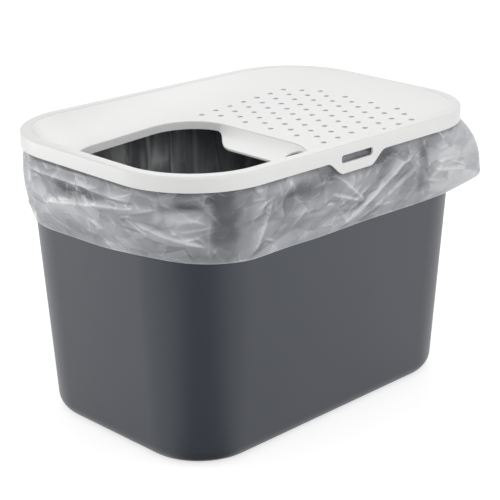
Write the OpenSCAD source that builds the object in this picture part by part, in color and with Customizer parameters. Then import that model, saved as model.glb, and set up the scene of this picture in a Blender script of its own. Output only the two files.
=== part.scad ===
// Top entry litter box: a tapered tub, a lift-off lid with a sloping perforated deck
// and an entry recess, and a film liner bag folded over the tub's rim.
// Units mm, +Z up, the long side along X, the tab seen from the front at -Y.

/* [Overall] */
// outer length of the lid, along X
lid_length = 585; // [520:1:640]
// outer width of the lid, along Y
lid_width = 402; // [360:1:440]
// height of the lid's rim above the floor
total_height = 402; // [340:1:440]
// plan radius of the lid's corners
corner_r = 119; // [90:1:150]

/* [Lid] */
// wall thickness of the lid
lid_wall = 2.6; // [2:0.1:3.5]
// height of the lid's outer skirt
skirt_h = 20; // [14:0.5:30]
// rounding of the lid's top edge
rim_round = 3; // [1:0.1:4]
// width of the flat rim round the deck
rim_flat = 14.5; // [10:0.5:18]
// slope of the deck in degrees, falling towards the entry
deck_slope = 2.8; // [0:0.1:4]
// depth of the deck below the rim at its reference point
deck_drop = 9; // [4:0.5:14]
// width over which the deck rises to the rim at the back
back_rise_w = 94; // [40:1:120]
// width over which the deck rises to the rim at the plain end
end_rise_w = 84; // [40:1:100]

/* [Entry] */
// distance of the entry from the lid's left edge
entry_left_margin = 31; // [29:1:60]
// distance of the entry from the lid's front edge
entry_front_margin = 22; // [22:1:40]
// right end of the entry, from the middle of the lid
entry_right_x = -28; // [-60:1:-24]
// back of the entry, from the middle of the lid
entry_back_y = 88; // [60:1:90]
// depth of the collar round the entry
collar_depth = 11; // [6:0.5:16]
// width of the ramp beside the entry
ramp_w = 48; // [30:1:60]
// radius of the hanging hole in the ramp
ramp_hole_r = 12; // [6:0.5:13]
// distance of the hanging hole from the entry's right end
ramp_hole_dx = 24; // [20:1:30]
// distance of the hanging hole from the entry's front edge
ramp_hole_dy = 41; // [34:1:80]

/* [Perforation] */
// diameter of one hole
hole_d = 8; // [4:0.5:10]
// distance between neighbouring holes of a row
hole_pitch = 27.3; // [20:0.1:28]
// distance between rows
row_pitch = 24.4; // [18:0.1:24.6]
// number of rows
row_count = 11; // [5:1:11]
// holes in a row
row_holes = 7; // [4:1:7]
// left end of the back row
first_hole_x = -16; // [-16:1:0]
// position of the back row
first_row_y = 76; // [60:1:84]

/* [Tabs] */
// depth of a tab below the lid's rim
tab_depth = 38; // [34:0.5:48]
// width of a tab half way down
tab_w = 82; // [76:1:110]
// width of the curve on either side of a tab
tab_blend = 30; // [12:1:36]
// length of the slot
slot_w = 60; // [40:1:62]
// height of the slot
slot_h = 10.5; // [8:0.5:12]
// top of the slot below the lid's rim
slot_top = 13.5; // [11:0.5:16]
// corner radius of the slot
slot_r = 4; // [1:0.5:4]

/* [Tub] */
// wall thickness of the tub
tub_wall = 2.8; // [2:0.1:3.2]
// inset of the tub's wall from the lid's outline, at the skirt's lower edge
tub_inset = 9; // [8.8:0.1:9.4]
// inward taper of each wall from the skirt's lower edge to the floor
tub_taper = 22; // [10:1:30]
// rounding of the bottom edge
bottom_r = 24; // [16:1:36]
// thickness of the rim flange
flange_t = 3; // [2:0.1:4]
// gap from the flange's edge to the lid's outline
flange_gap = 5.8; // [5.6:0.1:7]
// depth of the flange's turned down lip
flange_lip = 8; // [5:0.5:9]
// depth of the hollow under the floor
foot_h = 5; // [3:0.5:8]
// width of the foot that carries the box
foot_w = 16; // [8:1:24]
// width of a finger recess in the bottom edge
grip_w = 88; // [60:1:120]
// length of the lug behind a tab's slot
lug_w = 48; // [30:1:56]
// height of the lug
lug_h = 7; // [4:0.5:7]

/* [Liner] */
// thickness of the bag as modelled
film_t = 0.6; // [0.4:0.1:0.8]
// clearance between the film and the lid
film_gap = 0.3; // [0.3:0.05:0.5]
// height of the cuff's lower edge
cuff_z = 284; // [260:1:320]
// how much higher that edge is at the front left corner
cuff_wave = 10; // [0:1:20]
// how far the cuff bulges half way down
cuff_bulge = 4; // [0:0.5:10]
// how far the cuff flares at the front right corner
cuff_flare = 40; // [0:1:44]
// how much higher the cuff's edge is where it flares
cuff_lift = 13; // [0:1:20]

/* [Hidden] */
$fn = 96;

core_x = lid_length / 2 - corner_r;
core_y = lid_width / 2 - corner_r;
lid_under = total_height - lid_wall;
skirt_z = total_height - skirt_h;
over = 1;
unit_radii = [1, 1, 1, 1];

// tub: radii are measured outward from the core rectangle
wall_foot_r = corner_r - tub_inset - tub_taper;
taper_tan = tub_taper / skirt_z;
taper_cos = cos(atan(taper_tan));
taper_sin = sin(atan(taper_tan));
film_top = lid_under - film_gap;
same_gap = 0.2;
cuff_gap = 0.5;
rim_top = film_top - film_t - same_gap;
flange_r = corner_r - flange_gap;
floor_top = foot_h + tub_wall;
inner_bottom_r = bottom_r - 6;
lip_t = 2;
lug_chamfer = 5;
foot_edge_r = fillet_centre_r(0, 0, bottom_r);
slot_mid_z = total_height - slot_top - slot_h / 2;

// deck: a plane in its own tilted frame, curved up to the rim on four sides
deck_ref_x = 70;
deck_tan = tan(deck_slope);
deck_in = rim_flat - 1;
deck_out_step = 1.5;
deck_top_z = total_height - 0.3;
collar_t = 2.5;
collar_step = 0.6;
collar_top = 0.9;
plain_end_radii = [60, 70];
front_right_less = 20;
left_rise_w = entry_left_margin - deck_in - collar_t - 1.5;
front_rise_w = entry_front_margin - deck_in - collar_t - 1;
entry_x0 = -lid_length / 2 + entry_left_margin;
entry_y0 = -lid_width / 2 + entry_front_margin;
entry_radii = [70, 60, corner_r - entry_front_margin - 3, 70];
lip_x = entry_right_x - ramp_w;
lip_turn_y = -42;
lip_end_y = 36;
ramp_full_w = 20;
entry_steps = 11;
entry_rises = [0, 0.08, 0.2, 0.36, 0.56, 0.78, 1];
corner_steps = 8;
long_steps = 8;
short_steps = 4;
rise_steps = [0, 0.06, 0.15, 0.27, 0.42, 0.6, 0.8, 1];

// film: grid steps, folds and the places where the cuff rises and flares
film_corner_steps = 12;
film_long_steps = 8;
film_short_steps = 5;
film_fold = 4;
cuff_plan_r = 110;
cuff_tuck = 9;
cuff_below = 0.5;
cuff_start_z = [for (d = [skirt_h, (skirt_h + tab_depth) / 2, tab_depth]) total_height - d - cuff_below];
cuff_shares = [0.15, 0.32, 0.5, 0.68, 0.84, 1];
cuff_room = corner_r - lid_wall - film_gap - flange_r - cuff_gap - film_t;
tab_keep_x = tab_w / 2 + tab_blend + 20;
cuff_ripple = 1.5;
rise_from_core = [-105, -32];
rise_spread = 45;
flare_from_core = [72, -82];
flare_spread = 55;

tub_grey = [0.27, 0.29, 0.31];
lid_white = [0.93, 0.93, 0.92];
film_tint = [0.72, 0.74, 0.76, 0.55];

// radius of the tub's outer wall at height z
function wall_at(z) = wall_foot_r + taper_tan * z;
// radius of a wall's bottom fillet centre, for a wall offset inwards by off
function fillet_centre_r(off, base_z, r) = wall_at(base_z + r) - (off + r) / taper_cos;
// height of the deck's plane at x
function deck_z(x) = total_height - deck_drop + deck_tan * (x - deck_ref_x);
// curve from 0 to 1 with level ends
function ease(t) = t * t * (3 - 2 * t);
function mix_pt(a, b, t) = a + (b - a) * t;

// points round a rounded rectangle, anticlockwise from the right side
function arc_pts(c, r, a0, steps) =
  [for (k = [0 : steps]) c + r * [cos(a0 + 90 * k / steps), sin(a0 + 90 * k / steps)]];
function side_pts(a, b, steps) = [for (k = [1 : steps - 1]) mix_pt(a, b, k / steps)];
function loop_pts(x0, x1, y0, y1, rr, cs, ls, ss) =
  let (c0 = arc_pts([x1 - rr[0], y1 - rr[0]], rr[0], 0, cs),
       c1 = arc_pts([x0 + rr[1], y1 - rr[1]], rr[1], 90, cs),
       c2 = arc_pts([x0 + rr[2], y0 + rr[2]], rr[2], 180, cs),
       c3 = arc_pts([x1 - rr[3], y0 + rr[3]], rr[3], 270, cs))
  concat(c0, side_pts(c0[cs], c1[0], ls), c1, side_pts(c1[cs], c2[0], ss),
         c2, side_pts(c2[cs], c3[0], ls), c3, side_pts(c3[cs], c0[0], ss));

// two triangles for each cell between ring a and ring b of n points
function band(a, b, n) =
  [for (i = [0 : n - 1]) let (j = (i + 1) % n) each [[a + i, b + i, b + j], [a + i, b + j, a + j]]];

// triangles from ring a of n points to the point at its middle
function fan(a, middle, n) = [for (i = [0 : n - 1]) [a + i, middle, a + (i + 1) % n]];

// one half section carried round the rounded rectangle
module carry_round() {
  for (k = [0 : 3]) {
    sx = (k == 0 || k == 3) ? 1 : -1;
    sy = k < 2 ? 1 : -1;
    translate([sx * core_x, sy * core_y, 0])
      rotate([0, 0, 90 * k])
        rotate_extrude(angle = 90)
          children();
  }
  for (m = [0, 1]) {
    mirror([m, 0, 0])
      translate([core_x, core_y, 0])
        rotate([90, 0, 0])
          linear_extrude(2 * core_y)
            children();
    mirror([0, m, 0])
      translate([-core_x, core_y, 0])
        rotate([90, 0, 90])
          linear_extrude(2 * core_x)
            children();
  }
}

// rectangle with four corner radii, right back first and anticlockwise
module outline_2d(x0, x1, y0, y1, rr) {
  corners = [[x1, y1, -1, -1], [x0, y1, 1, -1], [x0, y0, 1, 1], [x1, y0, -1, 1]];
  difference() {
    translate([x0, y0])
      square([x1 - x0, y1 - y0]);
    for (k = [0 : 3])
      translate([corners[k][0], corners[k][1]])
        flip_to(corners[k][2], corners[k][3])
          difference() {
            translate([-over, -over])
              square(rr[k] + over);
            translate([rr[k], rr[k]])
              circle(rr[k]);
          }
  }
}
module flip_to(sx, sy) {
  mirror([sx < 0 ? 1 : 0, 0])
    mirror([0, sy < 0 ? 1 : 0])
      children();
}

module deck_frame() {
  translate([deck_ref_x, 0, total_height - deck_drop])
    rotate([0, -deck_slope, 0])
      translate([-deck_ref_x, 0, 0])
        children();
}

// solid below the tub's wall line, offset inwards, with a filleted bottom edge
module wall_section(off, base_z, r, top_z) {
  rc = fillet_centre_r(off, base_z, r);
  zc = base_z + r;
  translate([rc, zc])
    circle(r);
  polygon([
    [0, base_z],
    [rc, base_z],
    [rc + r * taper_cos, zc - r * taper_sin],
    [wall_at(top_z) - off / taper_cos, top_z],
    [0, top_z]
  ]);
}
module wall_solid(off, base_z, r, top_z) {
  carry_round()
    wall_section(off, base_z, r, top_z);
  translate([-core_x, -core_y, base_z])
    cube([2 * core_x, 2 * core_y, top_z - base_z]);
}

module tub_flange_section() {
  in_r = wall_at(rim_top) - tub_wall / 2;
  translate([in_r, rim_top - flange_t])
    square([flange_r - in_r, flange_t]);
  translate([flange_r - lip_t, rim_top - flange_lip])
    square([lip_t, flange_lip]);
}

module lug_section() {
  top_z = slot_mid_z + lug_h / 2;
  low_z = slot_mid_z - lug_h / 2;
  polygon([
    [wall_at(low_z - lug_chamfer) - tub_wall / 2, low_z - lug_chamfer],
    [flange_r, low_z],
    [flange_r, top_z],
    [wall_at(top_z) - tub_wall / 2, top_z]
  ]);
}

module tub() {
  color(tub_grey)
    difference() {
      union() {
        difference() {
          wall_solid(0, 0, bottom_r, rim_top);
          wall_solid(tub_wall, floor_top, inner_bottom_r, rim_top + over);
        }
        carry_round()
          tub_flange_section();
        for (m = [0, 1])
          mirror([0, m, 0])
            translate([-lug_w / 2, core_y, 0])
              rotate([90, 0, 90])
                linear_extrude(lug_w)
                  lug_section();
      }
      // hollow under the floor, inside the foot
      hollow_r = foot_edge_r - foot_w;
      translate([0, 0, -over])
        linear_extrude(foot_h + over)
          outline_2d(-core_x - hollow_r, core_x + hollow_r, -core_y - hollow_r, core_y + hollow_r,
                     hollow_r * unit_radii);
      // finger recesses through the foot at both short sides
      for (m = [0, 1])
        mirror([m, 0, 0])
          translate([core_x + hollow_r - over, -grip_w / 2, -over])
            cube([bottom_r + foot_w + 2 * over, grip_w, foot_h + over]);
    }
}

module rim_section() {
  r0 = corner_r - rim_flat;
  difference() {
    union() {
      translate([r0, skirt_z])
        square([rim_flat - rim_round, skirt_h]);
      translate([r0, skirt_z])
        square([rim_flat, skirt_h - rim_round]);
      translate([corner_r - rim_round, total_height - rim_round])
        circle(rim_round);
    }
    translate([r0 - over, skirt_z - over])
      square([rim_flat - lid_wall + over, skirt_h - lid_wall + over]);
  }
}

// thin sloping deck that curves up to the rim, one closed shell
module deck() {
  a_x = lid_length / 2 - deck_in;
  a_y = lid_width / 2 - deck_in;
  a_r = corner_r - deck_in;
  b_x0 = -a_x + left_rise_w;
  b_x1 = a_x - end_rise_w;
  b_y0 = -a_y + front_rise_w;
  b_y1 = a_y - back_rise_w;
  b_rr = [plain_end_radii[0], plain_end_radii[1], a_r - front_rise_w, a_r - front_right_less];
  e = deck_out_step;
  top_a = loop_pts(-a_x, a_x, -a_y, a_y, a_r * unit_radii, corner_steps, long_steps, short_steps);
  top_b = loop_pts(b_x0, b_x1, b_y0, b_y1, b_rr, corner_steps, long_steps, short_steps);
  low_a = loop_pts(-a_x - e, a_x + e, -a_y - e, a_y + e, (a_r + e) * unit_radii,
                   corner_steps, long_steps, short_steps);
  low_b = loop_pts(b_x0 - e, b_x1 + e, b_y0 - e, b_y1 + e, b_rr + e * unit_radii,
                   corner_steps, long_steps, short_steps);
  n = len(top_a);
  rings = len(rise_steps);
  top_pts = [for (t = rise_steps) for (i = [0 : n - 1])
    let (p = mix_pt(top_a[i], top_b[i], t), lift = deck_top_z - deck_z(top_a[i][0]))
      [p[0], p[1], deck_z(p[0]) + lift * (1 - t) * (1 - t)]];
  low_pts = [for (t = rise_steps) for (i = [0 : n - 1])
    let (p = mix_pt(low_a[i], low_b[i], t), lift = deck_top_z - deck_z(low_a[i][0]))
      [p[0], p[1], deck_z(p[0]) - lid_wall + lift * (1 - t) * (1 - t)]];
  m = rings * n;
  middle = [entry_right_x, 0];
  centres = [for (dz = [0, lid_wall]) [middle[0], middle[1], deck_z(middle[0]) - dz]];
  faces = concat(
    [for (k = [0 : rings - 2]) each band(k * n, (k + 1) * n, n)],
    fan((rings - 1) * n, 2 * m, n),
    [for (k = [0 : rings - 2]) each band(m + (k + 1) * n, m + k * n, n)],
    [for (t = fan(m + (rings - 1) * n, 2 * m + 1, n)) [t[0], t[2], t[1]]],
    band(m, 0, n)
  );
  polyhedron(concat(top_pts, low_pts, centres), faces, convexity = 6);
}

// the entry's outline on the deck, and the lower edge of its collar and ramp
function entry_outline() =
  loop_pts(entry_x0, entry_right_x, entry_y0, entry_back_y, entry_radii, entry_steps, long_steps, entry_steps);
function lip_at(y) = lip_x + ramp_w * ease(max(0, min(1, (y - lip_turn_y) / (lip_end_y - lip_turn_y))));
function entry_lower(a) = [for (p = a) [min(p[0], lip_at(p[1])), p[1]]];
// outward direction at point i of an anticlockwise loop
function outward(a, i) =
  let (n = len(a), d = a[(i + 1) % n] - a[(i + n - 1) % n])
  [d[1], -d[0]] / norm(d);

// collar round the entry that widens into the concave ramp, one closed shell
module entry_collar() {
  a = entry_outline();
  b = entry_lower(a);
  n = len(a);
  rings = len(entry_rises);
  inner = [for (t = entry_rises) for (i = [0 : n - 1])
    let (p = mix_pt(a[i], b[i], t) - collar_step * outward(a, i),
         fall = collar_top + (collar_depth - collar_top) * (1 - (1 - t) * (1 - t)))
      [p[0], p[1], -fall]];
  outer = [for (k = [0 : rings - 1]) for (i = [0 : n - 1])
    let (share = ease(min(1, (a[i][0] - b[i][0]) / ramp_full_w)),
         side = collar_t * (k == 0 ? 1 : 1 - share),
         down = k == 0 ? share : collar_t * share,
         q = inner[k * n + i],
         d = outward(a, i))
      [q[0] + d[0] * side, q[1] + d[1] * side, q[2] - down]];
  m = rings * n;
  faces = concat(
    [for (k = [0 : rings - 2]) each band(k * n, (k + 1) * n, n)],
    [for (k = [0 : rings - 2]) each band(m + (k + 1) * n, m + k * n, n)],
    band(m, 0, n),
    band((rings - 1) * n, m + (rings - 1) * n, n)
  );
  deck_frame()
    polyhedron(concat(inner, outer), faces, convexity = 6);
}

module hole_rows() {
  for (j = [0 : row_count - 1]) {
    start = j == 0 ? 0 : (j % 2 == 1 ? 0.5 : 1);
    count = j == row_count - 1 && row_count == 11 ? row_holes - 1 : row_holes;
    for (u = [0 : count - 1])
      translate([first_hole_x + hole_pitch * (start + u), first_row_y - row_pitch * j, -10])
        cylinder(d = hole_d, h = 20, $fn = 32);
  }
}

module tab_2d() {
  steps = 12;
  x_in = tab_w / 2 - tab_blend / 2;
  low_z = total_height - tab_depth;
  top_z = skirt_z + skirt_h / 2;
  polygon(concat(
    [[x_in + tab_blend, top_z], [-x_in - tab_blend, top_z]],
    [for (k = [0 : steps])
      let (t = 1 - k / steps) [-x_in - tab_blend * t, low_z + (skirt_z - low_z) * ease(t)]],
    [for (k = [0 : steps])
      let (t = k / steps) [x_in + tab_blend * t, low_z + (skirt_z - low_z) * ease(t)]]
  ));
}

module lid() {
  color(lid_white)
    difference() {
      union() {
        carry_round()
          rim_section();
        difference() {
          deck();
          deck_frame()
            translate([0, 0, -lid_wall * 2])
              linear_extrude(lid_wall * 4)
                outline_2d(entry_x0, entry_right_x, entry_y0, entry_back_y, entry_radii);
        }
        entry_collar();
        for (m = [0, 1])
          mirror([0, m, 0])
            translate([0, -lid_width / 2 + lid_wall, 0])
              rotate([90, 0, 0])
                linear_extrude(lid_wall)
                  tab_2d();
      }
      deck_frame()
        hole_rows();
      deck_frame()
        translate([entry_right_x - ramp_hole_dx, entry_y0 + ramp_hole_dy, -collar_depth - 3 * lid_wall])
          cylinder(r = ramp_hole_r, h = collar_depth + 3 * lid_wall);
      for (m = [0, 1])
        mirror([0, m, 0])
          translate([0, -lid_width / 2 + lid_wall + over, slot_mid_z])
            rotate([90, 0, 0])
              linear_extrude(lid_wall + 2 * over)
                outline_2d(-slot_w / 2, slot_w / 2, -slot_h / 2, slot_h / 2, slot_r * unit_radii);
    }
}

// film bag: lines the tub, lies over the rim and hangs outside as a cuff
module liner_bag() {
  rc = fillet_centre_r(tub_wall, floor_top, inner_bottom_r);
  zc = floor_top + inner_bottom_r;
  g = same_gap;
  // each entry: radius and height of the tub side, the outward normal, cuff share
  path = concat(
    [[rc * 0.5, floor_top + g, 0, 1, 0], [rc, floor_top + g, 0, 1, 0]],
    [for (a = [22.5, 45, 67.5, 90 - atan(taper_tan)])
      [rc + (inner_bottom_r - g) * sin(a), zc - (inner_bottom_r - g) * cos(a), -sin(a), cos(a), 0]],
    [for (z = [0.35 * rim_top, 0.68 * rim_top, rim_top - film_fold])
      [wall_at(z) - tub_wall / taper_cos - g, z, -1, 0, 0]],
    [[wall_at(rim_top) - tub_wall / taper_cos - g, rim_top + g, -1, 1, 0],
     [flange_r + cuff_gap, rim_top + g, 1, 1, 0],
     [flange_r + cuff_gap, rim_top - flange_lip, 1, 0, 0]],
    [for (z = cuff_start_z) [flange_r + cuff_gap, z, 1, 0, 0]],
    [for (s = cuff_shares) [flange_r + cuff_gap, cuff_start_z[2], 1, 0, s]]
  );
  rings = len(path);
  base = loop_pts(-core_x, core_x, -core_y, core_y, 0 * unit_radii,
                  film_corner_steps, film_long_steps, film_short_steps);
  reach = loop_pts(-core_x - 1, core_x + 1, -core_y - 1, core_y + 1, unit_radii,
                   film_corner_steps, film_long_steps, film_short_steps) - base;
  n = len(base);
  pts = [for (side = [0, 1]) for (q = path) for (i = [0 : n - 1])
    let (s = q[4],
         plan = base[i] + reach[i] * cuff_plan_r,
         z0 = q[1] - s * (q[1] - cuff_edge(plan)),
         hang = q[3] != 0 || q[2] < 0 ? 0 : share_below(z0, cuff_edge(plan)),
         free = cuff_bulge * sin(180 * pow(hang, 0.7)) - cuff_tuck * hang * hang
                + cuff_flare * (1 - pow(1 - hang, 1.7)) * near_corner(plan),
         held = abs(plan[0]) < tab_keep_x && z0 > cuff_start_z[2] - 0.1,
         out = held ? min(free, cuff_room) : free,
         r = q[0] + out + side * film_t * q[2],
         z = (s > 0 ? z0 : q[1] + side * film_t * q[3]))
      [base[i][0] + reach[i][0] * r, base[i][1] + reach[i][1] * r, z]];
  m = rings * n;
  centres = [for (dz = [0, film_t]) [0, 0, floor_top + g + dz]];
  faces = concat(
    [for (k = [0 : rings - 2]) each band(k * n, (k + 1) * n, n)],
    [for (t = fan(0, 2 * m, n)) [t[0], t[2], t[1]]],
    [for (k = [0 : rings - 2]) each band(m + (k + 1) * n, m + k * n, n)],
    fan(m, 2 * m + 1, n),
    band((rings - 1) * n, m + (rings - 1) * n, n)
  );
  color(film_tint)
    polyhedron(concat(pts, centres), faces, convexity = 8);
}
// height of the cuff's edge at a plan point
function cuff_edge(p) =
  cuff_z + cuff_wave * exp(-pow(norm(p - [-core_x, -core_y] - rise_from_core) / rise_spread, 2))
  + cuff_ripple * sin(p[0] * 2.1 + p[1] * 1.7) + cuff_lift * near_corner(p);
// how far down the hanging part of the cuff a height lies, from 0 below the skirt to 1
function share_below(z, edge) = max(0, min(1, (cuff_start_z[0] - z) / (cuff_start_z[0] - edge)));
// share of the flare at a plan point, 1 at the front right corner
function near_corner(p) = exp(-pow(norm(p - [core_x, -core_y] - flare_from_core) / flare_spread, 2));

tub();
lid();
liner_bag();
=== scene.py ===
# Top entry litter box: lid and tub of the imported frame, and a film liner bag made here.
import math
import bpy
import numpy as np
from mathutils import Matrix, Vector


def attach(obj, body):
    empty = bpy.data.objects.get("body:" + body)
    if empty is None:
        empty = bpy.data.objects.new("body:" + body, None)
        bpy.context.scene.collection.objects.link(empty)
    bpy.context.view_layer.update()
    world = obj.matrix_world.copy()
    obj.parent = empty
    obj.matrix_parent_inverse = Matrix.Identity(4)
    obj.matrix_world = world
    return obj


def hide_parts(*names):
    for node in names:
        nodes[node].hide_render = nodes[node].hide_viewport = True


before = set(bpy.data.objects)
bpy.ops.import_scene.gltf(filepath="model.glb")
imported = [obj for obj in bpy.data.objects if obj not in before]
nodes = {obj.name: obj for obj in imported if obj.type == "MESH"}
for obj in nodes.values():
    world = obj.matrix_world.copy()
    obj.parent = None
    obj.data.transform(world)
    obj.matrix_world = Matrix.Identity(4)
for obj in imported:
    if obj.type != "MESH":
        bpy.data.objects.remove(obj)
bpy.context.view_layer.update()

print("frame loaded:", sorted(nodes))


def toLinear(hexColour):  # sRGB hex to linear RGBA
    parts = [int(hexColour[i:i + 2], 16) / 255 for i in (1, 3, 5)]
    return tuple(p / 12.92 if p <= 0.04045 else ((p + 0.055) / 1.055) ** 2.4 for p in parts) + (1.0,)


def smoothStep(x, low, high):  # 0 below low, 1 above high, an s-curve between
    t = np.clip((x - low) / (high - low), 0, 1)
    return t * t * (3 - 2 * t)


def addNode(tree, kind, settings=None, links=None):
    # a node of the given kind; settings are properties or socket values, links go into its sockets
    node = tree.nodes.new(kind)
    for name, value in (settings or {}).items():
        if isinstance(name, str) and hasattr(node, name):
            setattr(node, name, value)
        else:
            node.inputs[name].default_value = value
    for name, socket in (links or {}).items():
        tree.links.new(socket, node.inputs[name])
    return node


def newMaterial(name):
    material = bpy.data.materials.new(name)
    material.use_nodes = True
    material.node_tree.nodes.clear()
    return material, material.node_tree


def addObject(name, data):
    thing = bpy.data.objects.new(name, data)
    bpy.context.scene.collection.objects.link(thing)
    return thing


def gridObject(name, points, wrap):
    # points is (rows, columns, 3) in metres; faces look along row direction x column direction
    rows, columns = points.shape[:2]
    index = np.arange(rows * columns).reshape(rows, columns)
    following = np.roll(index, -1, axis=1) if wrap else index[:, 1:]
    current = index if wrap else index[:, :-1]
    quads = np.stack([current[:-1], following[:-1], following[1:], current[1:]], axis=-1).reshape(-1, 4)
    mesh = bpy.data.meshes.new(name)
    mesh.from_pydata(points.reshape(-1, 3).tolist(), [], quads.tolist())
    mesh.polygons.foreach_set("use_smooth", np.ones(len(quads), bool))
    mesh.update()
    return addObject(name, mesh)


def addField(thing, name, values):  # one number for each point of a grid object
    thing.data.attributes.new(name, "FLOAT", "POINT").data.foreach_set("value", values.ravel())


# the tub and lid in mm, as the frame has them: core rectangle, then radii outward from it
tubForm = {
    "coreX": 173.5, "coreY": 82.0,   # half sizes of the core rectangle
    "footRadius": 88.0,              # outside of the wall, carried down to the floor
    "taper": 22 / 382,               # outward for each mm up
    "wall": 2.8,
    "rimTop": 398.3, "flange": 113.2, "flangeLip": 8.0,
    "floorTop": 7.8, "bottomRound": 18.0,
    "skirtLow": 382.0, "skirtIn": 116.4,
    "tabLow": 364.0, "tabHalf": 60.0, "tabBlend": 16.0,
}
filmBag = {
    "columns": 800,          # grid steps round the bag
    "floorRows": 9,          # rows from the middle of the floor to the bottom edge
    "filletRows": 8,         # rows round that edge
    "wallRows": 26,          # rows up the inside of the wall
    "cuffRows": 66,          # rows down the cuff
    "wallGap": 0.9,          # mm, between the film and the inside of the tub
    "rimGap": 0.45,          # mm, between the film and the top of the rim
    "lipGap": 0.7,           # mm, between the film and the edge of the flange
    "lipEase": 0.2,          # mm, how much further out it leaves that edge
    "skirtGap": 0.5,         # mm, between the film and the inside of the lid's skirt
    "cuffGap": 0.8,          # mm, least gap between the cuff and the outside of the tub's wall
    "leastLipGap": 0.5,      # mm, least gap between the cuff and the edge of the flange
    "farOff": 60.0,          # mm, more than the cuff ever stands off, where a limit has ended
    "slack": 10.0,           # mm, upright folds of the film inside the tub
    "slackParts": (0.55, 0.5, 0.55, 0.25),   # shares: everywhere, broad folds, less at sharp and small ones
    "cuffLow": 284.0,        # mm, height of the cuff's cut edge
    "cuffWave": 8.0,         # mm, rise of that edge at the front left corner
    "cuffLift": 13.0,        # mm, rise of that edge at the front right corner
    "cutRipple": 0.9,        # mm, waves of that edge
    "cuffBulge": 4.0,        # mm, how far the cuff stands out half way down
    "cuffTuck": 7.0,         # mm, how far the cut edge goes back to the wall
    "cuffFlare": 45.0,       # mm, stand-off at the front right corner
    "waveAt": (-105, -32, 70),   # mm, outward from the core's corner in x and y, and the width there
    "liftAt": (72, -82, 60),
    "flareAt": (78, -78, 50),
    "tight": 9.0,            # mm, how far the film goes in where it is pulled flat
    "calm": {"flare": 0.7, "tight": 0.85, "edge": 0.75},   # how much these places flatten its folds
    "billow": 3.5,           # mm, soft bulges of the cuff
    "creases": 260,          # small creases scattered over the cuff
    "creaseHeights": (288, 380), "creaseHalves": (5, 26), "creaseWidths": (3, 11),   # mm, their ranges
    "creaseLift": 1.5,       # mm, height of the tallest of them
    "creaseLean": 0.30,      # steepest slope that they follow
    "creaseTurn": 0.55,      # radians, how much they scatter about it
    "upright": 0.3,          # height in pattern space for each mm inside the tub, where facets are long
    "level": 1.9,            # and on the cuff, where they are flat
    "flat": (1.90, 0.68),    # m, the bag's tube laid open, and its length
    "seed": 7,
}
planRadius = 110.0    # mm, where lengths round the bag are measured
bagRound = 1710.0     # mm, about the length round it there, in which the creases' lean repeats twice
nearCorner = 1107.0   # mm, length round the bag of the corner nearest the camera

# waves of the film: size along and up in mm, lean, and a number that sets each apart from the others
waves = {
    "broadFold": (70, 420, 0.05, 0),
    "sharpFold": (52, 260, 0.12, 1),
    "smallFold": (24, 70, -0.2, 2),
    "insideMilk": (60, 150, 0, 3),
    "cutEdge": (90, 60, 0, 4),
    "billow": (110, 70, 0.3, 10),
    "cuffMilk": (44, 26, 0.4, 11),
    "ragged": (26, 18, 0.3, 12),     # outlines of clear and milky places
}
# how milky the film is, from 0 for clear to 1 for white: starting levels, and what each form adds; the fold
# and crease shares are painted highlights along crests, the share for faces turned up is painted light, and
# the share under the lid is painted shade that clears the film there
milkAndLight = {
    "floor": 0.40, "rim": 0.50,
    "inside": 0.46, "insideCrest": 0.50, "insideWave": 0.30,
    "cuff": 0.38, "down": 0.34, "standOff": 0.20, "fold": 0.34, "crease": 0.24, "litFromAbove": 0.30,
    "cuffWave": 0.14, "cutEdge": 0.30, "underLid": 0.30,
    "least": 0.05, "most": 1.3,
}
# folds seen on the cuff: from and to as (length round the bag, height) in mm, width, height of the crest
folds = [
    (1035, 362, 812, 365, 12, 5.0), (867, 327, 1068, 360, 12, 4.4), (910, 376, 914, 340, 7, 3.0),
    (1067, 366, 1067, 338, 8, 3.5), (1073, 365, 1127, 338, 8, 4.0), (1040, 337, 1129, 309, 9, 4.5),
    (1128, 346, 1127, 294, 8, 4.5), (1148, 286, 1112, 324, 8, 3.5), (1188, 294, 1210, 354, 9, 4.5),
    (1226, 379, 1236, 326, 7, 3.5), (1241, 379, 1281, 324, 8, 4.0), (1327, 366, 1384, 318, 7, 5.0),
    (1325, 338, 1384, 318, 6, 4.0), (1364, 358, 1357, 334, 6, 3.5), (1340, 286, 1476, 362, 8, 5.0),
    (1385, 290, 1490, 340, 9, 2.6), (1503, 384, 1521, 296, 4, 5.0), (1530, 330, 1590, 318, 9, 3.5),
]
# places where the cuff is pulled flat against the tub: centre, half sizes, in mm
tightSpots = [
    (1143, 335, 30, 60), (1100, 356, 30, 9), (1265, 348, 34, 16), (1420, 366, 40, 12), (930, 378, 90, 9),
]
# places where the film is clearer or milkier: centre, half sizes, in mm, and how much milkier; the long
# clear band along the skirt's lower edge, at 905, is painted shade
milkAndShadeSpots = [
    (1144, 335, 19, 62, -0.42), (925, 353, 46, 8, -0.26), (905, 381, 120, 6, -0.22),
    (955, 322, 95, 20, 0.20), (890, 340, 40, 20, 0.10), (1090, 325, 30, 28, 0.14),
    (1191, 345, 11, 48, 0.24), (1265, 346, 28, 15, -0.24), (1300, 299, 80, 11, 0.20),
    (1335, 346, 24, 13, 0.12), (1425, 364, 34, 12, -0.24), (1400, 322, 60, 10, 0.12),
    (1503, 345, 9, 42, -0.30), (1455, 325, 26, 16, -0.18), (893, 350, 26, 9, -0.2),
    (1560, 338, 44, 44, 0.24), (1460, 300, 60, 12, 0.10), (1225, 372, 30, 8, 0.16),
]
# the same for the film inside the tub, as seen through the entry
innerSpots = [
    (592, 320, 11, 26, 1.00), (538, 318, 4, 40, 1.20), (520, 300, 13, 13, 0.60), (551, 306, 7, 11, 0.60),
    (502, 308, 7, 12, 0.50), (491, 305, 3, 60, 0.45), (443, 300, 4, 70, 0.40), (565, 320, 12, 40, -0.30),
]


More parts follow.
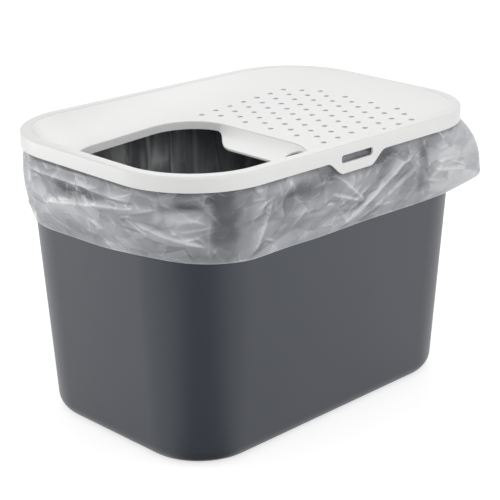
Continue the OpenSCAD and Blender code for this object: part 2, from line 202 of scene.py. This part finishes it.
def planLoop(count):
    # walks the rounded rectangle anticlockwise from the right side's front end, in even steps of length:
    # gives the core point, the outward direction, the length so far and the whole length
    x, y, arc = tubForm["coreX"], tubForm["coreY"], planRadius * math.pi / 2
    sides = [2 * y, arc, 2 * x, arc, 2 * y, arc, 2 * x, arc]
    total = sum(sides)
    along = np.arange(count) * total / count
    starts = np.concatenate([[0], np.cumsum(sides)])
    core, reach = np.zeros((count, 2)), np.zeros((count, 2))
    ends = [((x, -y), (x, y)), ((x, y), (-x, y)), ((-x, y), (-x, -y)), ((-x, -y), (x, -y))]
    for k, ((ax, ay), (bx, by)) in enumerate(ends):
        on = (along >= starts[2 * k]) & (along < starts[2 * k + 1])
        t = (along[on] - starts[2 * k]) / sides[2 * k]
        core[on] = np.stack([ax + (bx - ax) * t, ay + (by - ay) * t], axis=1)
        reach[on] = (math.cos(k * math.pi / 2), math.sin(k * math.pi / 2))
        on = (along >= starts[2 * k + 1]) & (along < starts[2 * k + 2])
        a = k * math.pi / 2 + (along[on] - starts[2 * k + 1]) / planRadius
        core[on] = (bx, by)
        reach[on] = np.stack([np.cos(a), np.sin(a)], axis=1)
    return core, reach, along, total


def waveNoise(name, along, height, total):
    # gradient noise from about -1 to 1 that closes on itself round the bag: a random slope at each
    # grid corner, blended by an even s-curve; lean is how far it shifts along for each mm of height
    cellAlong, cellUp, lean, step = waves[name]
    rows, start = 128, 40.0  # rows of slopes, and the row of height 0
    columns = max(3, round(total / cellAlong))
    u = (along + lean * height) / total * columns
    v = height / cellUp + start
    iu, iv = np.floor(u).astype(int), np.floor(v).astype(int)
    fu, fv = u - iu, v - iv
    rng = np.random.default_rng(filmBag["seed"] + step)
    turn = rng.uniform(0, 2 * math.pi, (rows, columns))
    slopeU, slopeV = np.cos(turn), np.sin(turn)

    def corner(a, b):
        row, column = (iv + b) % rows, (iu + a) % columns
        return slopeU[row, column] * (fu - a) + slopeV[row, column] * (fv - b)

    su, sv = fu ** 3 * (fu * (fu * 6 - 15) + 10), fv ** 3 * (fv * (fv * 6 - 15) + 10)
    low = corner(0, 0) * (1 - su) + corner(1, 0) * su
    high = corner(0, 1) * (1 - su) + corner(1, 1) * su
    return (low * (1 - sv) + high * sv) * 1.5


def ridges(noise, sharp):
    # sharp crests where the noise crosses zero, round hollows between
    return (1 - np.minimum(np.abs(noise) * 1.6, 1)) ** sharp


def foldField(along, height):
    # crests along line pieces: steep on the left of their direction, easy on the right, fading at both ends
    field = np.zeros(along.shape)
    for a0, z0, a1, z1, width, lift in folds:
        length = math.hypot(a1 - a0, z1 - z0)
        du, dv = (a1 - a0) / length, (z1 - z0) / length
        t = ((along - a0) * du + (height - z0) * dv) / length
        off = ((along - a0) * dv - (height - z0) * du) / width
        off = np.where(off > 0, off, -3 * off)
        ends = smoothStep(t, -0.12, 0.15) * (1 - smoothStep(t, 0.85, 1.12))
        field = np.maximum(field, lift * np.exp(-off ** 1.1) * ends)
    return field


def tightField(along, height):
    # round bells, 1 in the middle of each tight spot
    field = np.zeros(along.shape)
    for a0, z0, ra, rz in tightSpots:
        field = np.maximum(field, np.exp(-((along - a0) / ra) ** 2 - ((height - z0) / rz) ** 2))
    return field


def spotField(along, height, ragged, spots):
    # flat-topped spots with steep, ragged outlines
    field = np.zeros(along.shape)
    for a0, z0, ra, rz, change in spots:
        away = np.hypot((along - a0) / ra, (height - z0) / rz) + 0.35 * ragged
        field += change * np.exp(-np.maximum(away, 0) ** 4)
    return field


def leanAt(along):
    # slope of the small creases: down towards the near corner on both of its sides
    return filmBag["creaseLean"] * np.sin((along - nearCorner) / bagRound * 4 * math.pi)


def leanHeight(along):
    # the height that this slope adds up to, from the near corner on
    rise = bagRound / (4 * math.pi) * filmBag["creaseLean"]
    return rise * (1 - np.cos((along - nearCorner) / bagRound * 4 * math.pi))


def scatterCreases(total):
    # one row each: length round the bag, height, half length, width, direction in radians, lift
    rng = np.random.default_rng(filmBag["seed"] + 20)
    count = filmBag["creases"]
    along = rng.uniform(0, total, count)
    height = rng.uniform(*filmBag["creaseHeights"], count)
    half = rng.uniform(*filmBag["creaseHalves"], count) * rng.uniform(0.5, 1, count)
    width = rng.uniform(*filmBag["creaseWidths"], count)
    angle = leanAt(along) + rng.normal(0, filmBag["creaseTurn"], count)
    lift = rng.uniform(0.25, 1, count) * rng.choice([1, 1, -1], count) * filmBag["creaseLift"]
    return np.stack([along, height, half, width, angle, lift], axis=1)


def creaseField(along, height, total):
    # each crease is a straight tent: plane on either side, one of them steep, dying out at its ends;
    # the second result is a thin line along the outward crests, which carries a painted highlight
    field, lines = np.zeros(along.shape), np.zeros(along.shape)
    steepSide, lineWidth = 0.3, 1.6  # share of the width, mm
    for a0, z0, half, width, angle, lift in scatterCreases(total):
        side = np.mod(along - a0 + total / 2, total) - total / 2
        t = (side * math.cos(angle) + (height - z0) * math.sin(angle)) / half
        off = side * math.sin(angle) - (height - z0) * math.cos(angle)
        ends = np.clip(1.5 - np.abs(t), 0, 1)
        field += lift * np.clip(1 - np.abs(off) / np.where(off > 0, width, steepSide * width), 0, 1) * ends
        if lift > 0:
            lines = np.maximum(lines, np.exp(-(off / lineWidth) ** 2) * ends * min(1, lift))
    return field, lines


def wallAt(z):  # radius of the tub's outside at a height
    return tubForm["footRadius"] + tubForm["taper"] * z


def filmAt(z):  # radius of the film inside the tub
    return wallAt(z) - tubForm["wall"] / math.cos(math.atan(tubForm["taper"])) - filmBag["wallGap"]


def insideProfile():
    # radii and heights of the rows: a quarter circle at the bottom edge, then up the wall, closer near
    # the rim, then over the rim and down its lip; and the radius where the floor ends
    form, gap = tubForm, filmBag["wallGap"]
    slope = math.degrees(math.atan(form["taper"]))
    middleZ = form["floorTop"] + form["bottomRound"]
    bend = form["bottomRound"] - gap
    middleR = filmAt(middleZ) - bend * math.cos(math.radians(slope))
    turn = np.radians(np.linspace(6, 90 - slope, filmBag["filletRows"]))
    filletR, filletZ = middleR + bend * np.sin(turn), middleZ - bend * np.cos(turn)
    last = form["rimTop"] - 5
    share = np.linspace(1, 0, filmBag["wallRows"] + 1)[1:] ** 1.3
    upWall = last - (last - filletZ[-1]) * share
    wallR = np.concatenate([filletR, filmAt(upWall)])[:, None]
    wallZ = np.concatenate([filletZ, upWall])[:, None]
    start, lip = filmAt(form["rimTop"]), form["flange"] + filmBag["lipGap"]
    top, low = form["rimTop"] + filmBag["rimGap"], form["rimTop"] - form["flangeLip"] - 1
    out = lip + filmBag["lipEase"]
    rim = np.array([
        (start, form["rimTop"] - 1.5), (start + 0.5, top), ((start + lip) / 2, top), (lip - 0.6, top),
        (lip, top - 0.6), (out, form["rimTop"] - 4), (out, low)])
    return wallR, wallZ, rim[:, :1], rim[:, 1:], middleR


def insideFilm(along, total, wallR, wallZ):
    # upright slack folds, none at the rim and the floor: milky along their crests
    a, z = np.broadcast_arrays(along[None], wallZ)
    even, broad, sharp, small = filmBag["slackParts"]
    sharpFold = waveNoise("sharpFold", a, z, total)
    upright = (even + broad * waveNoise("broadFold", a, z, total) - sharp * ridges(sharpFold, 1.5)
               - small * ridges(waveNoise("smallFold", a, z, total), 1.5))
    fade = smoothStep(tubForm["rimTop"] - z, 4, 45) * smoothStep(z, 10, 60)
    radius = wallR - np.maximum(upright, 0) * filmBag["slack"] * fade
    hazeWithLight = (milkAndLight["inside"] + milkAndLight["insideCrest"] * ridges(sharpFold, 3)
            + milkAndLight["insideWave"] * waveNoise("insideMilk", a, z, total)
            + spotField(a, z, waveNoise("ragged", a, z, total), innerSpots))
    return radius, hazeWithLight


def cuffFilm(core, reach, along, total, start):
    # hangs from the lip, stands out, tucks back at its cut edge and flares at one corner; gives its
    # radius, height, milkiness with its painted light and shade, and how crumpled it is
    form, values = tubForm, filmBag

    def spread(place, power=2.0):  # bell round a plan point
        plan = core + reach * planRadius
        x, y = math.copysign(form["coreX"], place[0]) + place[0], -form["coreY"] + place[1]
        return np.exp(-(np.hypot(plan[:, 0] - x, plan[:, 1] - y) / place[2]) ** power)[None]

    s = (np.arange(1, values["cuffRows"] + 1) / values["cuffRows"])[:, None]
    edge = (values["cuffLow"] + values["cuffWave"] * spread(values["waveAt"])
            + values["cuffLift"] * spread(values["liftAt"])
            + values["cutRipple"] * waveNoise("cutEdge", along, along * 0, total)[None])
    z = start - s * (start - edge)
    a = np.broadcast_to(along[None], z.shape)
    hang = np.clip((form["skirtLow"] - z) / (form["skirtLow"] - edge), 0, 1)
    flare = spread(values["flareAt"], 1.4)
    out = values["cuffBulge"] * np.sin(math.pi * hang ** 0.7) - values["cuffTuck"] * hang ** 2
    out = out + values["cuffFlare"] * (1 - (1 - hang) ** 1.7) * flare

    # folds, fewer at the flare, that die out towards the lid and the cut edge
    calm = values["calm"]
    crumple, lines = creaseField(a, z, total)
    crumple, lines = crumple * (1 - calm["flare"] * flare), lines * (1 - calm["flare"] * flare)
    crest, tight = foldField(a, z), tightField(a, z)
    billow = values["billow"] * waveNoise("billow", a, z, total)
    loose = smoothStep(form["skirtLow"] - z, -4, 22)
    still = smoothStep(z - edge, 0, 16)
    folded = (billow + crumple + crest) * (1 - calm["edge"] + calm["edge"] * still)
    lip = form["flange"] + values["lipGap"] + values["lipEase"]
    radius = lip + out + folded * loose * (1 - calm["tight"] * tight) - values["tight"] * tight * loose

    # under the lid the film keeps inside the skirt and the tabs, and it never enters the tub's wall
    longSide = np.abs(reach[:, 1]) > 0.99
    tabEnd = form["tabHalf"] + form["tabBlend"]
    onTab = (1 - smoothStep(np.abs(core[:, 0]), form["tabHalf"], tabEnd)) * longSide
    lidLow = form["skirtLow"] - (form["skirtLow"] - form["tabLow"]) * onTab[None]
    underLid = values["farOff"] * smoothStep(lidLow - z, 0, 14)
    radius = np.minimum(radius, form["skirtIn"] - values["skirtGap"] + underLid)
    underLip = values["farOff"] * smoothStep(form["rimTop"] - form["flangeLip"] - 0.2 - z, 0, 6)
    least = np.maximum(wallAt(z) + values["cuffGap"], form["flange"] + values["leastLipGap"] - underLip)
    radius = np.maximum(radius, least)

    # whiter where it stands off the tub, clearer where it lies on it; painted highlights along fold
    # crests and crease lines, painted light where it faces up, and painted shade just under the lid's edge
    litFromAbove = np.gradient(radius, axis=0) / np.abs(np.gradient(z, axis=0))
    hazeWithLight = (milkAndLight["cuff"] + milkAndLight["down"] * hang + milkAndLight["standOff"] * smoothStep(radius - wallAt(z), 2, 14)
            + spotField(a, z, waveNoise("ragged", a, z, total), milkAndShadeSpots)
            + milkAndLight["fold"] * np.clip(crest / 5, 0, 1) ** 2 + milkAndLight["crease"] * lines
            + milkAndLight["litFromAbove"] * np.clip(litFromAbove, -0.6, 0.6)
            + milkAndLight["cuffWave"] * waveNoise("cuffMilk", a, z, total)
            + milkAndLight["cutEdge"] * smoothStep(-z, -edge - 1.8, -edge - 0.4)
            - milkAndLight["underLid"] * (1 - smoothStep(lidLow - z, -1, 9)))
    # the flare hangs smooth, and so does the film just above the cut edge, with less of the painted
    # facet shade and highlight lines there
    crumpled = 1 - 0.85 * flare * smoothStep(hang, 0, 0.3) - 0.3 * (1 - still)
    return radius, z, hazeWithLight, np.clip(crumpled, 0, 1)


def patternSpace(along, total, shares, wallZ, rimRows, cuffZ):
    # a cylinder of the bag's own length round, so it closes on itself, in m; drawn out upright inside
    # the tub and level on the cuff, where it also leans like the creases
    turn, ring = along / total * 2 * math.pi, total / (2 * math.pi)
    top = filmBag["upright"] * (tubForm["rimTop"] + filmBag["rimGap"])
    down = filmBag["level"] * (tubForm["rimTop"] + filmBag["rimGap"] - cuffZ.mean(axis=1))
    height = np.concatenate([np.zeros(len(shares)), filmBag["upright"] * wallZ[:, 0], np.full(rimRows, top),
                             top + down])
    rim = len(shares) + len(wallZ)
    onCuff = smoothStep(np.arange(len(height)), rim, rim + rimRows)
    radius = ring * np.concatenate([shares[:, 0, 0], np.ones(len(height) - len(shares))])[:, None]
    lean = filmBag["level"] * onCuff[:, None] * leanHeight(along)[None]
    return np.dstack([radius * np.cos(turn), radius * np.sin(turn), height[:, None] + lean]) / 1000


def makeFilmBag():
    # a sheet on a grid: rows run from the middle of the floor up the wall, over the rim and down the
    # cuff, columns run round; each row is a radius outward from the core rectangle, moved by folds
    core, reach, along, total = planLoop(filmBag["columns"])
    wallR, wallZ, rimR, rimZ, floorR = insideProfile()
    insideR, insideHaze = insideFilm(along, total, wallR, wallZ)
    cuffR, cuffZ, cuffHazeWithLight, cuffCrumpled = cuffFilm(core, reach, along, total, rimZ[-1, 0])

    def rows(values):
        return np.broadcast_to(values, (len(values), along.size))

    shares = np.linspace(0.001, 1, filmBag["floorRows"])[:, None, None]
    floor = (core + reach * floorR)[None] * shares
    floorZ = np.full(floor.shape[:2], tubForm["floorTop"] + filmBag["wallGap"])
    radii = np.concatenate([insideR, rows(rimR), cuffR])
    heights = np.concatenate([rows(wallZ), rows(rimZ), cuffZ])
    sides = core[None] + reach[None] * radii[..., None]
    points = np.concatenate([np.dstack([floor, floorZ]), np.dstack([sides, heights])]) / 1000
    bag = gridObject("film_bag", points, True)

    pattern = patternSpace(along, total, shares, wallZ, len(rimR), cuffZ)
    bag.data.attributes.new("pattern", "FLOAT_VECTOR", "POINT").data.foreach_set("vector", pattern.ravel())
    # the cuff's share of this carries its painted highlights, painted light and painted shade
    hazeWithLight = np.concatenate([np.full(floorZ.shape, milkAndLight["floor"]), insideHaze,
                           np.full((len(rimR), along.size), milkAndLight["rim"]), cuffHazeWithLight])
    addField(bag, "hazeWithLight", np.clip(hazeWithLight, milkAndLight["least"], milkAndLight["most"]))
    otherRows = len(points) - len(cuffCrumpled)
    addField(bag, "crumpled", np.concatenate([np.ones((otherRows, along.size)), cuffCrumpled]))
    print("film bag:", len(bag.data.polygons), "faces")
    return bag


bag = makeFilmBag()
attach(bag, "tub")
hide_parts("liner_bag")


lidLook = {
    "name": "moulded polypropylene, white",
    "colours": ("#e6e6e5", "#e4e4e3"),   # the two that the clouds go between
    "roughness": 0.36, "relief": 0.15,   # of the spark-eroded surface
    "grain": 0.9,                        # mm, drawn coarser than the real one so that it shows
    "cloud": 1000 / 9,                   # mm, nine to the metre
    "join": 0.0004,                      # m, also closes the hair-wide step between the deck and the rim
}
tubLook = {
    "name": "moulded polypropylene, slate",
    "colours": ("#3b3f47", "#383c44"),
    "roughness": 0.38, "relief": 0.2,
    "grain": 0.9, "cloud": 1000 / 9,
    "join": 0.00001,
}


def mouldedPlastic(look):
    # moulded polypropylene: satin from a fine spark-eroded tool, colour all but even
    material, tree = newMaterial(look["name"])
    place = addNode(tree, "ShaderNodeTexCoord")
    grain = addNode(tree, "ShaderNodeTexNoise",
                    {"Scale": 1000 / look["grain"], "Detail": 2.0, "Roughness": 0.6},
                    {"Vector": place.outputs["Object"]})
    cloud = addNode(tree, "ShaderNodeTexNoise", {"Scale": 1000 / look["cloud"], "Detail": 3.0},
                    {"Vector": place.outputs["Object"]})
    first, second = (toLinear(colour) for colour in look["colours"])
    tint = addNode(tree, "ShaderNodeMix", {"data_type": "RGBA", 6: first, 7: second},
                   {0: cloud.outputs["Fac"]})
    rough = addNode(tree, "ShaderNodeMapRange",
                    {"To Min": look["roughness"] - 0.04, "To Max": look["roughness"] + 0.04},
                    {"Value": cloud.outputs["Fac"]})
    bump = addNode(tree, "ShaderNodeBump", {"Strength": look["relief"], "Distance": 0.0002},
                   {"Height": grain.outputs["Fac"]})
    shader = addNode(tree, "ShaderNodeBsdfPrincipled", {"IOR": 1.49},
                     {"Base Color": tint.outputs[2], "Roughness": rough.outputs["Result"],
                      "Normal": bump.outputs["Normal"]})
    addNode(tree, "ShaderNodeOutputMaterial", None, {"Surface": shader.outputs["BSDF"]})
    return material


filmLook = {
    "name": "blown polyethylene film",
    # the film's own colour, then the white of its milkiest places and of its painted highlights
    "colour": "#b9bbbf", "whiteAndHighlight": "#d8dad9",
    "whiteAndHighlightFrom": (0.84, 1.34),     # milkiness where the colour starts to change to the white of milky film and painted highlights, and where it has changed
    "alpha": (0.16, 0.98),           # at milkiness 0 and 1
    "facets": (1000 / 13, 1000 / 31),   # mm, flat places between creases: 13 and 31 to the metre
    "facetShade": 0.8,                # how much painted shade runs across one facet from side to side, as if it were lit from one side
    "lineWidth": 1.1,                # mm, of the painted highlight lines between facets
    "crumple": 0.32,                 # how much the facets' painted shade and the highlight lines show
    "wave": 1000 / 30, "bend": (0.010, 0.010, 0.014),   # mm, waves of these lines, and m that they go aside
    "patch": 1000 / 22, "breaks": (0.48, 0.62),   # mm, gaps in them, and the noise where a gap ends
    "roughness": 0.3, "relief": (0.6, 0.5),
}


def blownFilm(look):
    # blown polyethylene film: milky and see-through, with a soft gloss; painted highlights along its
    # creases and painted shade across its facets
    material, tree = newMaterial(look["name"])
    place = addNode(tree, "ShaderNodeTexCoord")
    milky = addNode(tree, "ShaderNodeAttribute", {"attribute_name": "hazeWithLight"})
    crumpled = addNode(tree, "ShaderNodeAttribute", {"attribute_name": "crumpled"})
    sheet = addNode(tree, "ShaderNodeAttribute", {"attribute_name": "pattern"})

    # the pattern's place, bent, and where its lines are broken
    wave = addNode(tree, "ShaderNodeTexNoise", {"Scale": 1000 / look["wave"], "Detail": 2.0},
                   {"Vector": sheet.outputs["Vector"]})
    bent = addNode(tree, "ShaderNodeVectorMath", {"operation": "MULTIPLY_ADD", 1: look["bend"]},
                   {0: wave.outputs["Color"], 2: sheet.outputs["Vector"]})
    patch = addNode(tree, "ShaderNodeTexNoise", {"Scale": 1000 / look["patch"], "Detail": 4.0},
                    {"Vector": place.outputs["Object"]})
    low, high = look["breaks"]
    broken = addNode(tree, "ShaderNodeMapRange",
                     {"interpolation_type": "SMOOTHSTEP", "From Min": low, "From Max": high},
                     {"Value": patch.outputs["Fac"]})

    # facets: each a plane with its own tilt, for the bump, with painted shade running across it and a
    # painted highlight line round it
    shadesAndGlints, tilts = [], []
    for size in look["facets"]:
        scale = 1000 / size
        facet = addNode(tree, "ShaderNodeTexVoronoi", {"Scale": scale}, {"Vector": bent.outputs["Vector"]})
        edge = addNode(tree, "ShaderNodeTexVoronoi", {"feature": "DISTANCE_TO_EDGE", "Scale": scale},
                       {"Vector": bent.outputs["Vector"]})
        line = addNode(tree, "ShaderNodeMapRange",
                       {"interpolation_type": "SMOOTHSTEP", "From Min": 0.0,
                        "From Max": look["lineWidth"] / size, "To Min": 1.0, "To Max": 0.0},
                       {"Value": edge.outputs["Distance"]})
        dashes = addNode(tree, "ShaderNodeMath", {"operation": "MULTIPLY"},
                         {0: line.outputs["Result"], 1: broken.outputs["Result"]})
        aside = addNode(tree, "ShaderNodeVectorMath", {"operation": "SUBTRACT", 1: (0.5, 0.5, 0.5)},
                        {0: facet.outputs["Color"]})
        away = addNode(tree, "ShaderNodeVectorMath", {"operation": "SUBTRACT"},
                       {0: bent.outputs["Vector"], 1: facet.outputs["Position"]})
        tilt = addNode(tree, "ShaderNodeVectorMath", {"operation": "DOT_PRODUCT"},
                       {0: aside.outputs["Vector"], 1: away.outputs["Vector"]})
        # painted shade from the facet's tilt, plus its painted highlight line
        shadeAndGlint = addNode(tree, "ShaderNodeMath", {"operation": "MULTIPLY_ADD", 1: scale * look["facetShade"]},
                       {0: tilt.outputs["Value"], 2: dashes.outputs[0]})
        shadesAndGlints.append(shadeAndGlint.outputs[0])
        tilts.append(tilt.outputs["Value"])
    shadeAndGlint = addNode(tree, "ShaderNodeMath", {"operation": "ADD"}, {0: shadesAndGlints[0], 1: shadesAndGlints[1]})
    relief = addNode(tree, "ShaderNodeMath", {"operation": "ADD"}, {0: tilts[0], 1: tilts[1]})

    # their painted shade and highlights are added to the milkiness, which sets the colour and how much
    # shows through
    amount = addNode(tree, "ShaderNodeMath", {"operation": "MULTIPLY", 1: look["crumple"]},
                     {0: crumpled.outputs["Fac"]})
    white = addNode(tree, "ShaderNodeMath", {"operation": "MULTIPLY_ADD"},
                    {0: shadeAndGlint.outputs[0], 1: amount.outputs[0], 2: milky.outputs["Fac"]})
    low, high = look["whiteAndHighlightFrom"]
    whiteAndHighlight = addNode(tree, "ShaderNodeMapRange",
                      {"interpolation_type": "SMOOTHSTEP", "From Min": low, "From Max": high},
                      {"Value": white.outputs[0]})
    colour = addNode(tree, "ShaderNodeMix",
                     {"data_type": "RGBA", 6: toLinear(look["colour"]), 7: toLinear(look["whiteAndHighlight"])},
                     {0: whiteAndHighlight.outputs["Result"]})
    clear, full = look["alpha"]
    alpha = addNode(tree, "ShaderNodeMapRange", {"To Min": clear, "To Max": full},
                    {"Value": white.outputs[0]})
    strength, distance = look["relief"]
    bump = addNode(tree, "ShaderNodeBump", {"Strength": strength, "Distance": distance},
                   {"Height": relief.outputs[0]})
    shader = addNode(tree, "ShaderNodeBsdfPrincipled", {"Roughness": look["roughness"], "IOR": 1.5},
                     {"Base Color": colour.outputs[2], "Alpha": alpha.outputs["Result"],
                      "Normal": bump.outputs["Normal"]})
    addNode(tree, "ShaderNodeOutputMaterial", None, {"Surface": shader.outputs["BSDF"]})
    return material


def smoothGroup(name, distance, sharpest=25):
    # joins the loose triangles that lie within distance of each other, in metres, and shades them
    # smooth where the angle between two faces is under sharpest, in degrees
    group = bpy.data.node_groups.new(name, "GeometryNodeTree")
    for side in ("INPUT", "OUTPUT"):
        group.interface.new_socket("Geometry", in_out=side, socket_type="NodeSocketGeometry")
    start = addNode(group, "NodeGroupInput")
    merged = addNode(group, "GeometryNodeMergeByDistance", {"Distance": distance},
                     {"Geometry": start.outputs[0]})
    smooth = addNode(group, "GeometryNodeSetShadeSmooth", {"domain": "FACE", "Shade Smooth": True},
                     {"Geometry": merged.outputs[0]})
    angle = addNode(group, "GeometryNodeInputMeshEdgeAngle")
    sharp = addNode(group, "FunctionNodeCompare",
                    {"data_type": "FLOAT", "operation": "GREATER_THAN", 1: math.radians(sharpest)},
                    {0: angle.outputs[0]})
    split = addNode(group, "GeometryNodeSetShadeSmooth", {"domain": "EDGE", "Shade Smooth": False},
                    {"Geometry": smooth.outputs[0], "Selection": sharp.outputs[0]})
    addNode(group, "NodeGroupOutput", None, {0: split.outputs[0]})
    return group


bag.data.materials.append(blownFilm(filmLook))
for name, look in (("lid", lidLook), ("tub", tubLook)):
    thing = nodes[name]
    thing.data.materials.clear()
    thing.data.materials.append(mouldedPlastic(look))
    thing.modifiers.new("smooth", "NODES").node_group = smoothGroup("smooth " + name, look["join"])
print("materials done")


studio = {
    # x, y, z, size in metres, power in watts
    "left light": (-1.3, 1.5, 0.2, 0.9, 13.5),
    "front light": (1.3, -1.75, 0.42, 1.1, 9.5),
    "overhead light": (1.3, 1.3, 1.7, 1.2, 8.5),
    "fill light": (-1.5, -1.6, 1.35, 1.0, 13.0),
}
aimHeight = 0.2        # m, where the lamps point, above the middle of the floor
room = {
    "sky": 0.66,       # light from all round
    "floor": "#d0d0d0", "floorGlow": 0.62, "floorHalf": 12.0,
}
# a dark card before the near corner: its middle and half width in degrees, with a soft edge as wide
# again, its reach and height in metres, and how bright it is
darkCard = {"middle": 230.5, "half": 22.0, "reach": (0.08, 1.4), "height": 1.0, "level": 0.15}


def seenAsBackground(tree):
    # 1 for the rays that should find a white background, 0 for those that light the object
    light = addNode(tree, "ShaderNodeLightPath")
    seen = light.outputs["Is Camera Ray"]
    for ray in ("Is Glossy Ray", "Is Transmission Ray"):
        either = addNode(tree, "ShaderNodeMath", {"operation": "MAXIMUM"}, {0: seen, 1: light.outputs[ray]})
        seen = either.outputs[0]
    return seen


def makeFloor():
    material, tree = newMaterial("pale floor")
    diffuse = addNode(tree, "ShaderNodeBsdfDiffuse", {"Color": toLinear(room["floor"])})
    strength = addNode(tree, "ShaderNodeMath", {"operation": "MULTIPLY", 1: room["floorGlow"]},
                       {0: seenAsBackground(tree)})
    glow = addNode(tree, "ShaderNodeEmission", {"Color": (1, 1, 1, 1)}, {"Strength": strength.outputs[0]})
    both = addNode(tree, "ShaderNodeAddShader", None, {0: diffuse.outputs[0], 1: glow.outputs[0]})
    addNode(tree, "ShaderNodeOutputMaterial", None, {"Surface": both.outputs[0]})
    size = room["floorHalf"]
    corners = np.array([[(-size, -size, 0), (size, -size, 0)], [(-size, size, 0), (size, size, 0)]])
    floor = gridObject("floor", corners, False)
    floor.data.materials.append(material)


def makeWorld():
    world = bpy.data.worlds.new("studio")
    bpy.context.scene.world = world
    world.use_nodes = True
    tree = world.node_tree
    tree.nodes.clear()
    strength = addNode(tree, "ShaderNodeMapRange", {"To Min": room["sky"], "To Max": 1.0},
                       {"Value": seenAsBackground(tree)})
    back = addNode(tree, "ShaderNodeBackground", {"Color": (1, 1, 1, 1)},
                   {"Strength": strength.outputs["Result"]})
    addNode(tree, "ShaderNodeOutputWorld", None, {"Surface": back.outputs[0]})


def makeDarkCard():
    # seen in gloss alone: a fan on the floor about the tub's near corner, then a wall round its far end;
    # its brightness goes up to white at both sides by a smooth step of the angle from its middle
    half, level = darkCard["half"], darkCard["level"]
    near, far = darkCard["reach"]
    aside = np.linspace(-2 * half, 2 * half, 25)
    turn = np.radians(darkCard["middle"] + aside)
    profile = np.array([(near, 0.001), (far, 0.001), (far, darkCard["height"])])
    points = np.empty((len(profile), turn.size, 3))
    points[..., 0] = -tubForm["coreX"] / 1000 + profile[:, :1] * np.cos(turn)
    points[..., 1] = -tubForm["coreY"] / 1000 + profile[:, :1] * np.sin(turn)
    points[..., 2] = profile[:, 1:]
    thing = gridObject("dark card", points, False)
    bright = level + (1 - level) * smoothStep(np.abs(aside), half / 2, 2 * half)
    addField(thing, "bright", np.tile(bright, len(profile)))
    material, tree = newMaterial("dark card")
    mark = addNode(tree, "ShaderNodeAttribute", {"attribute_name": "bright"})
    glow = addNode(tree, "ShaderNodeEmission", {"Color": (1, 1, 1, 1)}, {"Strength": mark.outputs["Fac"]})
    addNode(tree, "ShaderNodeOutputMaterial", None, {"Surface": glow.outputs[0]})
    thing.data.materials.append(material)
    thing.visible_camera = thing.visible_diffuse = thing.visible_transmission = thing.visible_shadow = False


def addLamp(name, x, y, z, size, power):
    lamp = bpy.data.lights.new(name, "AREA")
    lamp.size, lamp.energy = size, power
    thing = addObject(name, lamp)
    thing.location = (x, y, z)
    toObject = Vector((0, 0, aimHeight)) - Vector((x, y, z))
    thing.rotation_euler = toObject.to_track_quat("-Z", "Y").to_euler()


# the photograph's view, in radians, metres and pixels of a square frame
view = {
    "azimuth": -0.81685, "elevation": 0.38991, "roll": 0.00726,
    "place": (-1.3596, -1.3932, 0.9032),
    "focal": 1454.5, "centre": (308.56, 315.15), "frame": 500.0,
}


def makeCamera():
    azimuth, elevation, roll = view["azimuth"], view["elevation"], view["roll"]
    back = Vector((math.sin(azimuth) * math.cos(elevation), -math.cos(azimuth) * math.cos(elevation),
                   math.sin(elevation)))
    right = Vector((math.cos(azimuth), math.sin(azimuth), 0))
    up = back.cross(right)
    turned = math.cos(roll) * right + math.sin(roll) * up
    upright = math.cos(roll) * up - math.sin(roll) * right
    axes = (turned, upright, back)
    camera = bpy.data.cameras.new("camera")
    thing = addObject("camera", camera)
    matrix = Matrix(axes).transposed().to_4x4()
    matrix.translation = view["place"]
    thing.matrix_world = matrix
    camera.sensor_width = 36.0
    camera.lens = view["focal"] * camera.sensor_width / view["frame"]
    camera.shift_x = (view["frame"] / 2 - view["centre"][0]) / view["frame"]
    camera.shift_y = (view["centre"][1] - view["frame"] / 2) / view["frame"]
    camera.clip_end = 60.0
    bpy.context.scene.camera = thing


makeFloor()
makeWorld()
makeDarkCard()
for name, values in studio.items():
    addLamp(name, *values)
makeCamera()
bpy.context.scene.view_settings.view_transform = "Standard"
print("studio done")
